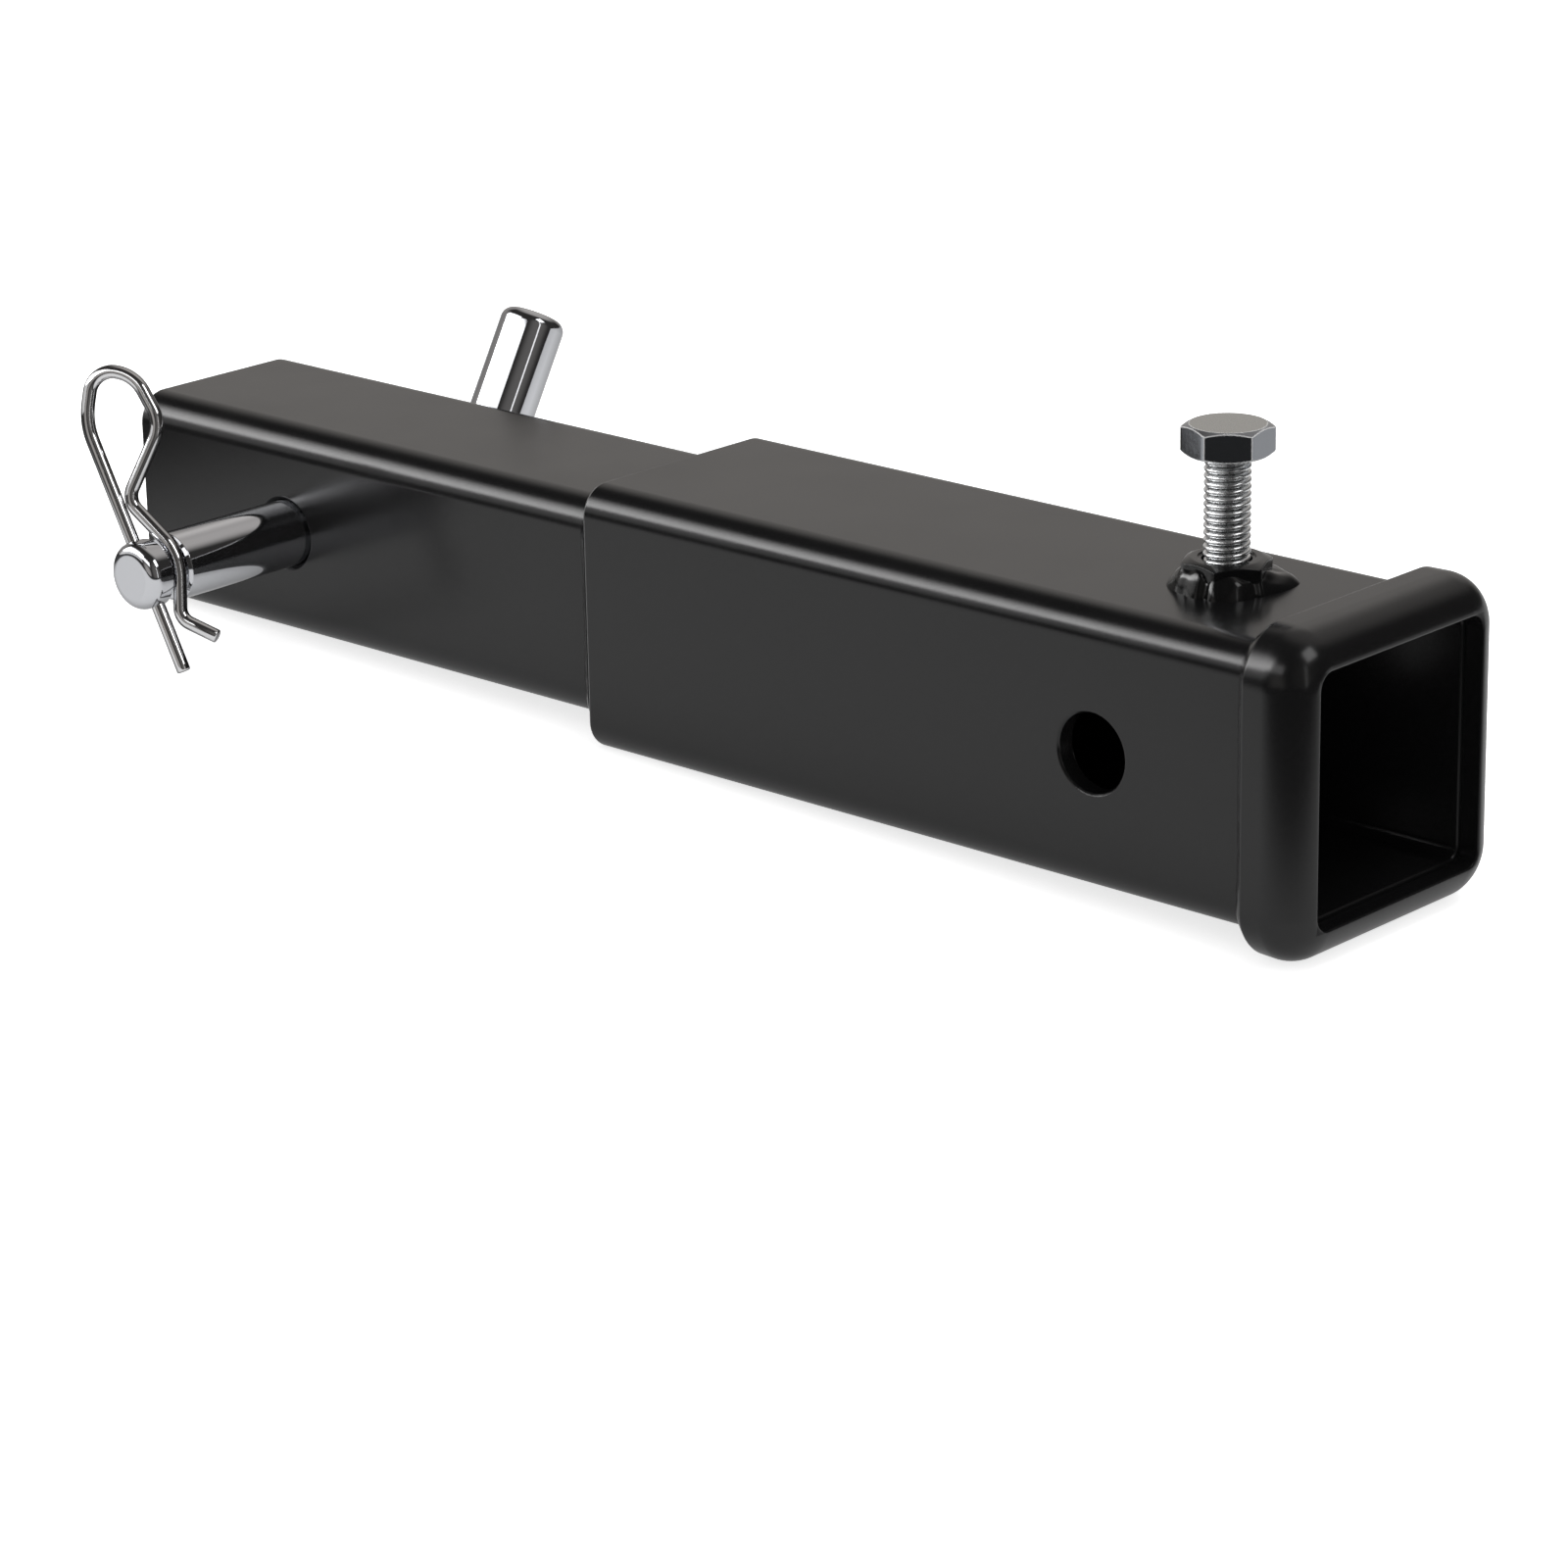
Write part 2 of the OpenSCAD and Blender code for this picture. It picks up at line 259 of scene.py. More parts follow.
def receiver_mesh():
    section = tube_section(RECV_X, RECV_END_X, RECV_R, RECV_IN - RECV_C, RECV_EDGE)
    ob = sweep_ring("receiver", section, RECV_C)
    cut_with(ob, cross_bore(0, HOLE_R, RECV_HALF, RECV_HOLE_RIM))
    cut_with(ob, place(straight_bore(BOLT_R + BOLT_PLAY, 10, 40), shift(BOLT_X)))
    return weigh(ob)


# the collar round the mouth
def collar_section():
    """A step for the tube's end inside, a small lip at the mouth and a full round nose."""
    mouth_r = MOUTH_IN - COLLAR_C
    nose_r = COLLAR_R - COLLAR_ROUND
    nose_x = MOUTH_X - COLLAR_ROUND
    lip_a = math.acos((mouth_r + 0.6 - nose_r) / COLLAR_ROUND)
    lip_x = nose_x + COLLAR_ROUND * math.sin(lip_a)
    s = [(RECV_R, REAR_X), (RECV_R, RECV_END_X), (mouth_r, RECV_END_X)]
    s += [(mouth_r, lip_x - 0.55), (mouth_r + 0.12, lip_x - 0.2), (mouth_r + 0.35, lip_x - 0.04)]
    for a in np.linspace(lip_a, 0, 19):
        s.append((nose_r + COLLAR_ROUND * math.cos(a), nose_x + COLLAR_ROUND * math.sin(a)))
    for t in (0, *STEPS, 90):
        a = math.radians(t)
        s.append((COLLAR_R - 1 + math.cos(a), REAR_X + 1 - math.sin(a)))
    return s


def collar_push(path, r, x):
    """The bar of the collar was bent, so its rear edge is pinched at the corners."""
    pinch, reach = 0.35, 5.0
    corner = (np.abs(path[:, 2] * path[:, 3]) * 2)[:, None] ** 2
    outer = np.clip((r - RECV_R - 0.5) / (COLLAR_R - RECV_R - 0.5), 0, 1)
    back = np.clip(1 - (x - REAR_X) / reach, 0, 1)
    return r - pinch * corner * outer * back, x


def collar_mesh():
    section = collar_section()
    return weigh(sweep_ring("collar", section, COLLAR_C, per_corner=28, per_flat=6, push=collar_push))


# the two welds
def weld_ring(name, r0, c, x0, leg, seed):
    """Fillet weld of this leg length round a tube, with a light ripple and a slower swell."""
    n = 12
    s = [(r0, x0)]
    for t in range(n + 1):
        f = t / n
        bulge = leg * 0.1 * math.sin(math.pi * f)
        s.append((r0 + leg * (1 - f) + bulge, x0 - leg * f - bulge))
    phase = np.random.default_rng(seed).uniform(0, 6.28, 3)

    def push(path, r, x):
        k = np.arange(len(path))[:, None]
        f = np.sin(math.pi * np.clip((np.arange(r.shape[1]) - 1) / n, 0, 1))[None, :]
        wave = 0.5 + 0.5 * np.sin(k * 0.8 + 1.3 * f + phase[0])
        slow = np.sin(k * 0.11 + phase[1]) + 0.6 * np.sin(k * 0.23 + phase[2])
        d = f * (0.02 * leg * (wave ** 2) + 0.02 * leg * slow) - 0.04 * leg * f
        return r + 0.7 * d, x - 0.7 * d

    return sweep_ring(name, s, c, per_corner=24, per_flat=70, push=push, angle=60)


# the weld nut and the bolt's head
def hex_reach(a):
    """Distance of the hexagon's side from its axis at an angle in degrees."""
    return HEX_AF / 2 / math.cos(math.radians((a % 60) - 30))


def hex_solid(name, height, turn, face_r, foot_r=None):
    """Hexagon with its top rim turned to a cone of 25 degrees, and its foot rim too where foot_r is
    given; it is meshed so that the curved edge on each flat shows."""
    slope = math.tan(math.radians(25))
    per_side, blunt = 20, 0.12
    corner_r = HEX_AF / math.sqrt(3) - blunt
    angles = [60 * k + 60 * i / per_side for k in range(6) for i in range(per_side)]
    sides = [min(hex_reach(a), corner_r) for a in angles]
    n = len(angles)
    if foot_r is None:
        rows = [[(r, 0.0) for r in sides]]
    else:
        rows = [[(foot_r, 0.0)] * n, [(r, max(0.0, r - foot_r) * slope) for r in sides]]
    rows.append([(r, height - max(0.0, r - face_r) * slope) for r in sides])
    rows.append([(min(r, face_r), height) for r in sides])
    for f in (0.94, 0.86, 0.6, 0.3):
        rows.append([(face_r * f, height)] * n)
    verts = []
    for row in rows:
        for a, (r, z) in zip(angles, row):
            t = math.radians(a + turn)
            verts.append((r * math.cos(t), r * math.sin(t), z))
    rings = [range(k * n, k * n + n) for k in range(len(rows))]
    return make(name, verts, capped_bar(rings), 18)


def nut_mesh():
    """Weld nut with its bore and a shallow countersink at the top."""
    ob = place(hex_solid("nut", NUT_H, NUT_TURN, NUT_FACE_R), shift(BOLT_X, 0, TOP_Z))
    cut_with(ob, place(straight_bore(BOLT_R + NUT_PLAY, 20, 50), shift(BOLT_X)))
    top = TOP_Z + NUT_H
    foot = top - 0.35
    sink = [(0, foot), (6.0, foot), (6.3, top + 1), (0, top + 1)]
    cut_with(ob, place(turned_cutter(sink, 64), shift(BOLT_X)))
    return weigh(ob)


def head_mesh():
    ob = hex_solid("bolt_head", HEAD_H, HEAD_TURN, HEAD_FACE_R, HEAD_FOOT_R)
    return weigh(place(ob, shift(BOLT_X, 0, HEAD_Z)))


# the bolt's thread
def thread_mesh():
    """Helical groove; it fades out under the head and is chamfered at the tip."""
    n, per_turn, sharpness = 72, 16, 2.3
    z0, z1, run_out, shrink = HEAD_Z - BOLT_LENGTH, HEAD_Z + 0.3, 1.2, 0.12
    rows = int((z1 - z0) / THREAD_PITCH * per_turn)
    z = np.linspace(z0, z1, rows + 1)
    fade = np.clip((z - (z1 - run_out)) / run_out, 0, 1)
    tip = np.clip(1.0 - (z - z0), 0, 1)
    verts = np.zeros((rows + 1, n, 3))
    for j in range(n):
        a = 2 * math.pi * j / n
        turn = (z / THREAD_PITCH - j / n) % 1.0
        r = BOLT_R - (BOLT_R - THREAD_ROOT_R) * (np.abs(turn - 0.5) * 2) ** sharpness
        r = r + (BOLT_R - shrink - r) * fade
        r = np.minimum(r, BOLT_R - tip)
        verts[:, j, 0] = r * math.cos(a)
        verts[:, j, 1] = r * math.sin(a)
        verts[:, j, 2] = z
    faces = [tuple(reversed(f)) for f in grid_faces(rows + 1, n, False, True)]
    faces.append(tuple(reversed(range(n))))
    faces.append(tuple(range(rows * n, rows * n + n)))
    return place(make("bolt_thread", verts.reshape(-1, 3), faces, 50), shift(BOLT_X))


# the bead round the nut: its foot line (x, y) from the bolt's axis
FOOT = [(-13.3, 1.3), (-9.7, -7.6), (-3.1, -9.3), (2.9, -11.5), (6.4, -8.6), (9.3, -2.7),
        (10.7, 2.0), (10.1, 11.7), (4.1, 15.5), (-0.5, 15.3), (-6.5, 12.0), (-11.5, 7.0)]


def bead_mesh():
    """Lumpy skirt from the foot line up to the nut, with one groove on the clip's side of the nut.
    Heights are in mm and angles in degrees; each call of near is a lump or hollow at an angle."""
    n, m, sunk = 180, 20, 0.05
    angles = np.arange(n) * 360 / n

    def near(c, w):
        return np.exp(-(((angles - c + 180) % 360 - 180) / w) ** 2)

    foot_a = [math.degrees(math.atan2(y, x)) for x, y in FOOT]
    foot = np.interp(angles, foot_a, [math.hypot(x, y) for x, y in FOOT], period=360)
    for _ in range(4):
        foot = (np.roll(foot, 1) + foot * 2 + np.roll(foot, -1)) / 4
    side = np.array([hex_reach(a - NUT_TURN) for a in angles])
    top = 4.2 + 0.7 * np.cos(np.radians(angles - 270)) + 0.3 * np.sin(np.radians(3 * angles + 40))
    top = top + 0.2 * np.sin(np.radians(7 * angles))
    groove = near(281, 6.5)
    top = top + 0.5 * near(252, 20) + 0.4 * near(320, 18) - 1.3 * groove - 0.7 * near(2, 12)
    foot = foot + 0.7 * near(250, 16) + 0.8 * near(318, 20) - 1.8 * groove
    foot = np.maximum(foot, side + 0.8)
    slope = 1.25 + 0.9 * near(252, 24) + 0.35 * near(320, 24)
    verts = []
    for i in range(n):
        t = math.radians(angles[i])
        inner = side[i] - 1.2
        for j in range(m + 1):
            f = j / m
            r = foot[i] + (inner - foot[i]) * f
            z = top[i] * (1 - (1 - f) ** (slope[i] + 0.5)) ** 0.85
            lumps = 0.2 * math.sin(9 * t + 5 * f) + 0.14 * math.sin(5 * t - 8 * f)
            z += lumps * math.sin(math.pi * f)
            verts.append((r * math.cos(t), r * math.sin(t), max(z, 0.0) - (sunk if j == 0 else 0)))
    ob = make("nut_bead", verts, grid_faces(n, m + 1, True, False), 60)
    return place(ob, shift(BOLT_X, 0, TOP_Z))


# the hitch pin
BEND_Y, BEND_R, BEND_A, HANDLE_L, RIM = 26.6, 20.0, 60.0, 30.5, 2.9
GROOVE_Y0, GROOVE_Y1, GROOVE_R = -66.57, -61.74, 4.76
LEAN = Matrix.Rotation(math.radians(-CLIP_LEAN), 4, "Y")


def pin_mesh():
    """One bar: rounded end, groove for the clip, straight run, bend and handle; the clip's hole is cut."""
    drawn_out = 0.0001
    points, radii = [], []

    def add(y, z, r):
        points.append((0, y, z))
        radii.append(r)

    for t in np.linspace(0, 90, 9):
        a = math.radians(t)
        add(PIN_Y + RIM * (1 - math.cos(a)) + drawn_out * t, 0, PIN_R - RIM + RIM * math.sin(a))
    add(GROOVE_Y0 - 0.35, 0, PIN_R)
    add(GROOVE_Y0 - 0.05, 0, PIN_R - 0.3)
    add(GROOVE_Y0, 0, GROOVE_R + 0.2)
    add(GROOVE_Y0 + 0.2, 0, GROOVE_R)
    add(GROOVE_Y1 - 0.2, 0, GROOVE_R)
    add(GROOVE_Y1, 0, GROOVE_R + 0.2)
    add(GROOVE_Y1 + 0.02, 0, PIN_R - 0.7)
    add(GROOVE_Y1 + 0.7, 0, PIN_R)
    for y in np.linspace(GROOVE_Y1 + 1.5, BEND_Y, 40):
        add(y, 0, PIN_R)
    for t in np.linspace(0, BEND_A, 25)[1:]:
        a = math.radians(t)
        add(BEND_Y + BEND_R * math.sin(a), BEND_R * (1 - math.cos(a)), PIN_R - 0.02)
    y0, z0 = points[-1][1:]
    dy, dz = math.cos(a), math.sin(a)
    for run in np.linspace(0, HANDLE_L - RIM, 8)[1:]:
        add(y0 + dy * run, z0 + dz * run, PIN_R)
    for t in np.linspace(0, 90, 9)[1:]:
        a = math.radians(t)
        run = HANDLE_L - RIM + RIM * math.sin(a)
        add(y0 + dy * run, z0 + dz * run, PIN_R - RIM + RIM * math.cos(a))
    ob = place(sweep_path("pin", points, radii, 72, (0, 0, 1)), shift(PIN_X))
    cut_with(ob, place(straight_bore(WIRE_R + WIRE_PLAY, -12, 12, 40), shift(PIN_X, LEG_Y) @ LEAN))
    return weigh(ob)


# the hairpin clip: corners of its wire (across, along, bend radius)
CLIP = [(0, -24.1, 0), (0, 37.4, 16.8), (6.4, 48.5, 5.4), (14.9, 42.9, 8.8), (16.4, 30.4, 8.1),
        (2.513, 17.3, 4.5), (9.136, 1.1, 13.5), (3.8, -12.6, 4), (10.4, -19.7, 0)]


def fillet_path(corners):
    """Points of a path through corners (across, along, bend radius), at most 3 degrees apart on a bend."""
    out = [np.array(corners[0][:2], float)]
    for i in range(1, len(corners) - 1):
        before, here, after = (np.array(corners[k][:2], float) for k in (i - 1, i, i + 1))
        radius = corners[i][2]
        u = (here - before) / np.linalg.norm(here - before)
        v = (after - here) / np.linalg.norm(after - here)
        bend = math.atan2(u[0] * v[1] - u[1] * v[0], float(u @ v))
        start = here - u * (radius * math.tan(abs(bend) / 2))
        side = 1 if bend > 0 else -1
        centre = start + side * radius * np.array([-u[1], u[0]])
        first = math.atan2(*(start - centre)[::-1])
        last = out[-1]
        k = int(np.linalg.norm(start - last) / 1.5)
        for q in range(1, k):
            out.append(last + (start - last) * q / k)
        n = max(4, int(math.degrees(abs(bend)) / 3.0))
        for q in range(n + 1):
            a = first + bend * q / n
            out.append(centre + radius * np.array([math.cos(a), math.sin(a)]))
    out.append(np.array(corners[-1][:2], float))
    keep = [out[0]]
    for p in out[1:]:
        if np.linalg.norm(p - keep[-1]) > 0.05:
            keep.append(p)
    return np.array(keep)


def clip_mesh():
    """One bent wire with both ends blunted."""
    blunt, shoulder = 0.3, 0.12
    wire = np.array([(b, 0, a) for b, a in fillet_path(CLIP)])
    u = (wire[1] - wire[0]) / np.linalg.norm(wire[1] - wire[0])
    v = (wire[-1] - wire[-2]) / np.linalg.norm(wire[-1] - wire[-2])
    first = [wire[0], wire[0] + u * shoulder, wire[0] + u * blunt]
    last = [wire[-1] - v * blunt, wire[-1] - v * shoulder, wire[-1]]
    wire = np.vstack([*first, wire[1:-1], *last])
    radii = np.full(len(wire), WIRE_R)
    radii[0] = radii[-1] = WIRE_R - blunt
    radii[1] = radii[-2] = WIRE_R - 0.1
    swing = Matrix.Rotation(math.radians(CLIP_SWING), 4, "Z")
    return place(sweep_path("clip", wire, radii, 28, (0, 1, 0)), shift(PIN_X, LEG_Y) @ LEAN @ swing)


shank = shank_mesh()
recv = receiver_mesh()
collar = collar_mesh()
shank_weld = weld_ring("shank_bead", SHANK_R, SHANK_C, RECV_X, SHANK_WELD_LEG, 3)
collar_weld = weld_ring("collar_bead", RECV_R, RECV_C, REAR_X, COLLAR_WELD_LEG, 5)
nut = nut_mesh()
head = head_mesh()
rod = thread_mesh()
nut_bead = bead_mesh()
pin = pin_mesh()
clip = clip_mesh()


# node helpers
def nodes_of(name):
    mat = bpy.data.materials.new(name)
    mat.use_nodes = True
    tree = mat.node_tree
    tree.nodes.clear()
    out = tree.nodes.new("ShaderNodeOutputMaterial")
    surface = tree.nodes.new("ShaderNodeBsdfPrincipled")
    tree.links.new(surface.outputs["BSDF"], out.inputs["Surface"])
    coords = tree.nodes.new("ShaderNodeTexCoord")
    return mat, tree, surface, coords


def noise(tree, coords, scale, detail, rough=0.5):
    n = tree.nodes.new("ShaderNodeTexNoise")
    n.inputs["Scale"].default_value = scale
    n.inputs["Detail"].default_value = detail
    n.inputs["Roughness"].default_value = rough
    tree.links.new(coords.outputs["Object"], n.inputs["Vector"])
    return n.outputs["Fac"]


def ramp(tree, src, lo, hi, a, b, kind="LINEAR"):
    """Goes from a to b as the source goes from lo to hi, and stays level outside."""
    m = tree.nodes.new("ShaderNodeMapRange")
    m.interpolation_type = kind
    m.inputs["From Min"].default_value = lo
    m.inputs["From Max"].default_value = hi
    m.inputs["To Min"].default_value = a
    m.inputs["To Max"].default_value = b
    tree.links.new(src, m.inputs["Value"])
    return m.outputs["Result"]


def math_node(tree, op, *values):
    """Result of one operation on sockets or plain numbers."""
    m = tree.nodes.new("ShaderNodeMath")
    m.operation = op
    for k, v in enumerate(values):
        if isinstance(v, (int, float)):
            m.inputs[k].default_value = v
        else:
            tree.links.new(v, m.inputs[k])
    return m.outputs[0]


def vector_node(tree, op, *values):
    """The same for vectors; a plain one is a tuple."""
    m = tree.nodes.new("ShaderNodeVectorMath")
    m.operation = op
    for k, v in enumerate(values):
        if isinstance(v, tuple):
            m.inputs[k].default_value = v
        else:
            tree.links.new(v, m.inputs[k])
    return m


def xyz(tree, vector):
    sep = tree.nodes.new("ShaderNodeSeparateXYZ")
    tree.links.new(vector, sep.inputs[0])
    return sep.outputs["X"], sep.outputs["Y"], sep.outputs["Z"]


def blend(tree, factor, a, b):
    """Colour from a to b; the mix node has its colours at sockets 6 and 7 and gives one at 2."""
    mix = tree.nodes.new("ShaderNodeMix")
    mix.data_type = "RGBA"
    tree.links.new(factor, mix.inputs[0])
    for k, colour in ((6, a), (7, b)):
        if isinstance(colour, tuple):
            mix.inputs[k].default_value = (*colour, 1)
        else:
            tree.links.new(colour, mix.inputs[k])
    return mix.outputs[2]


def bump(tree, src, strength, distance, normal=None):
    b = tree.nodes.new("ShaderNodeBump")
    b.inputs["Strength"].default_value = strength
    b.inputs["Distance"].default_value = distance
    tree.links.new(src, b.inputs["Height"])
    if normal is not None:
        tree.links.new(normal, b.inputs["Normal"])
    return b.outputs["Normal"]


def edge_round(tree, radius):
    b = tree.nodes.new("ShaderNodeBevel")
    b.samples = 6
    b.inputs["Radius"].default_value = radius
    return b.outputs["Normal"]


def scale_colour(tree, surface, colour, factor):
    """Base colour times a factor that varies over the surface."""
    mul = vector_node(tree, "SCALE", colour)
    tree.links.new(factor, mul.inputs["Scale"])
    tree.links.new(mul.outputs["Vector"], surface.inputs["Base Color"])


# coated steel
COAT = (0.006, 0.006, 0.0063)
WELD_COAT = (0.005, 0.005, 0.0053)
COAT_ROUGH, COAT_PEEL = 0.21, 0.06
OPEN_HALF = 0.0273


def coated(name, rough, peel, tint):
    """Coated steel with a slight peel and slow waves."""
    mat, tree, surface, coords = nodes_of(name)
    surface.inputs["Base Color"].default_value = (*tint, 1)
    surface.inputs["IOR"].default_value = 1.5
    big = noise(tree, coords, scale=38, detail=4)
    fine = noise(tree, coords, scale=1500, detail=3, rough=0.6)
    patchy = ramp(tree, big, 0.3, 0.7, rough - 0.03, rough + 0.03)
    grainy = ramp(tree, fine, 0.3, 0.7, -0.01, 0.01)
    tree.links.new(math_node(tree, "ADD", patchy, grainy), surface.inputs["Roughness"])
    waves = noise(tree, coords, scale=60, detail=2)
    normal = bump(tree, fine, peel, 0.00006, edge_round(tree, 0.0004))
    normal = bump(tree, waves, 0.16, 0.0002, normal)
    tree.links.new(normal, surface.inputs["Normal"])
    return mat, tree, surface, coords


def open_coat():
    """Coat of the receiver tube and the collar: dull inside them, and with a painted highlight, a pale
    line, on the rounded rear end edge of the tube."""
    mat, tree, surface, coords = coated("black coat open", COAT_ROUGH, COAT_PEEL, COAT)
    x, y, z = xyz(tree, coords.outputs["Object"])
    across = math_node(tree, "MAXIMUM", math_node(tree, "ABSOLUTE", y), math_node(tree, "ABSOLUTE", z))
    level = ramp(tree, across, OPEN_HALF, OPEN_HALF + 0.0001, 0.2, 0.5)
    tree.links.new(level, surface.inputs["Specular IOR Level"])
    # painted highlight: the coat's colour is made paler in a thin band on the tube's rounded rear end
    # edge, off its end face
    face_x, highlight_x, highlight_end_x = ((RECV_X + d) * MM for d in (0.03, 0.4, 0.9))
    end_highlight = ramp(tree, x, highlight_x, highlight_end_x, 0.24, 0.0)
    off_end_face = math_node(tree, "GREATER_THAN", x, face_x)
    coat_and_highlight = vector_node(tree, "ADD", COAT, math_node(tree, "MULTIPLY", end_highlight, off_end_face))
    tree.links.new(coat_and_highlight.outputs["Vector"], surface.inputs["Base Color"])
    return mat


# plated metals
CHROME = (0.72, 0.73, 0.76)
WIRE = (0.82, 0.82, 0.83)
# the second zinc colour is painted light on faces that look up, the third a painted highlight on the edges
ZINC, ZINC_LIT_TOP, ZINC_EDGE_HIGHLIGHT = (0.335, 0.35, 0.375), (0.5, 0.505, 0.49), (0.9, 0.9, 0.9)
ZINC_ROUGH, ZINC_TOP_ROUGH = 0.11, 0.26
STEEL = (0.9, 0.91, 0.92)


def plated(name, colour, rough, grain, wave, edge):
    """Plated metal with a grain and slow waves; its edges are rounded unless edge is 0."""
    mat, tree, surface, coords = nodes_of(name)
    surface.inputs["Metallic"].default_value = 1.0
    surface.inputs["Base Color"].default_value = (*colour, 1)
    grains = noise(tree, coords, scale=900, detail=3, rough=0.6)
    waves = noise(tree, coords, scale=120, detail=2)
    grainy = ramp(tree, grains, 0.3, 0.7, rough * 0.7, rough * 1.4)
    tree.links.new(grainy, surface.inputs["Roughness"])
    rounded = edge_round(tree, edge) if edge > 0 else None
    normal = bump(tree, grains, grain, 0.00004, rounded)
    normal = bump(tree, waves, wave, 0.0002, normal)
    tree.links.new(normal, surface.inputs["Normal"])
    return mat, tree, surface, coords, grainy, rounded


def painted_grazing_shade(tree, surface, colour, start, end, level):
    """Painted shade: the metal's colour is darkened towards grazing sight, standing in for dark
    reflections; it falls to the level between two facing values.
    """
    face = tree.nodes.new("ShaderNodeLayerWeight")
    face.inputs["Blend"].default_value = 0.5
    scale_colour(tree, surface, colour, ramp(tree, face.outputs["Facing"], start, end, 1.0, level))


def chrome_plate():
    made = plated("chrome plate", CHROME, rough=0.05, grain=0.0, wave=0.05, edge=0.0003)
    mat, tree, surface = made[:3]
    # painted shade on the chrome towards grazing sight
    painted_grazing_shade(tree, surface, CHROME, start=0.35, end=0.75, level=0.5)
    return mat


def clip_wire():
    made = plated("clip wire", WIRE, rough=0.07, grain=0.01, wave=0.06, edge=0.0003)
    mat, tree, surface = made[:3]
    # painted shade on the wire towards grazing sight
    painted_grazing_shade(tree, surface, WIRE, start=0.28, end=0.62, level=0.18)
    return mat


def zinc_plate():
    """Zinc, duller on faces that look up and paler there with painted light from above, and with painted
    highlights as pale lines on its edges.
    """
    made = plated("zinc plate", ZINC, rough=ZINC_ROUGH, grain=0.06, wave=0.12, edge=0.0004)
    mat, tree, surface, coords, grainy, rounded = made
    # faces that look up are rougher, and get a paler colour as painted light from above
    up = ramp(tree, xyz(tree, coords.outputs["Normal"])[2], 0.93, 0.99, 0.0, 1.0)
    duller = math_node(tree, "MULTIPLY_ADD", up, ZINC_TOP_ROUGH - ZINC_ROUGH, grainy)
    geo = tree.nodes.new("ShaderNodeNewGeometry")
    turned_away = vector_node(tree, "DOT_PRODUCT", rounded, geo.outputs["Normal"])
    # painted highlight: where the shading normal turns away on the rounded edges, the zinc gets a pale,
    # less metallic colour and more roughness
    edge_highlight = ramp(tree, turned_away.outputs["Value"], 0.975, 0.997, 1.0, 0.0)
    tone = blend(tree, edge_highlight, blend(tree, up, ZINC, ZINC_LIT_TOP), ZINC_EDGE_HIGHLIGHT)
    rougher = math_node(tree, "ADD", duller, math_node(tree, "MULTIPLY", edge_highlight, 0.35))
    tree.links.new(tone, surface.inputs["Base Color"])
    tree.links.new(rougher, surface.inputs["Roughness"])
    tree.links.new(ramp(tree, edge_highlight, 0.0, 1.0, 1.0, 0.12), surface.inputs["Metallic"])
    return mat


def turned_thread():
    """Steel with painted shade in the roots, darker by the distance from the bolt's axis."""
    made = plated("turned thread", STEEL, rough=0.26, grain=0.0, wave=0.0, edge=0.0)
    mat, tree, surface, coords = made[:4]
    flat = vector_node(tree, "MULTIPLY_ADD", coords.outputs["Object"], (1, 1, 0), (-BOLT_X * MM, 0, 0))
    reach = vector_node(tree, "LENGTH", flat.outputs["Vector"])
    # painted shade: the colour falls to 0.45 of the steel's in the thread's roots
    scale_colour(tree, surface, STEEL, ramp(tree, reach.outputs["Value"], 0.0041, 0.0046, 0.45, 1.0))
    return mat


coat = coated("black coat", COAT_ROUGH, COAT_PEEL, COAT)[0]
hollow = open_coat()
gloss = coated("coated weld", rough=0.16, peel=0.03, tint=WELD_COAT)[0]
chrome = chrome_plate()
wire = clip_wire()
zinc = zinc_plate()
turned = turned_thread()

DRESS = [
    (shank, coat, "extender", "shank_tube", "black_coat"),
    (recv, hollow, "extender", "receiver_tube", "black_coat"),
    (collar, hollow, "extender", "mouth_collar", "black_coat"),
    (shank_weld, gloss, "extender", "shank_weld", "coated_weld"),
    (collar_weld, gloss, "extender", "collar_weld", "coated_weld"),
    (nut, gloss, "extender", "weld_nut", "black_coat"),
    (nut_bead, gloss, "extender", "nut_weld", "coated_weld"),
    (head, zinc, "bolt", "clamp_bolt", "zinc_plate"),
    (rod, turned, "bolt", "clamp_bolt", "zinc_plate"),
    (pin, chrome, "pin", "hitch_pin", "chrome_plate"),
    (clip, wire, "clip", "hairpin_clip", "clip_wire"),
]
for ob, mat, body, node, slot_name in DRESS:
    ob.data.materials.clear()
    ob.data.materials.append(mat)
    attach(ob, body)
    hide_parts(node)


# helpers of the floor and the room
def away(tree, pos, direction, near, far, a, b):
    """Goes smoothly from a to b between near and far along a fixed direction of the row frame."""
    along = vector_node(tree, "DOT_PRODUCT", pos, direction)
    return ramp(tree, along.outputs["Value"], near, far, a, b, "SMOOTHSTEP")


def shader(tree, kind, colour, strength=None):
    """A plain shader; the colour and the strength are sockets or constants."""
    s = tree.nodes.new(kind)
    for key, value in (("Color", colour), ("Strength", strength)):
        if isinstance(value, (tuple, float)):
            s.inputs[key].default_value = value
        elif value is not None:
            tree.links.new(value, s.inputs[key])
    return s.outputs[0]


def either(tree, factor, first, second):
    """The first shader where the factor is 0 and the second where it is 1."""
    m = tree.nodes.new("ShaderNodeMixShader")
    if isinstance(factor, float):
        m.inputs[0].default_value = factor
    else:
        tree.links.new(factor, m.inputs[0])
    tree.links.new(first, m.inputs[1])
    tree.links.new(second, m.inputs[2])
    return m.outputs[0]


WHITE = (1, 1, 1, 1)

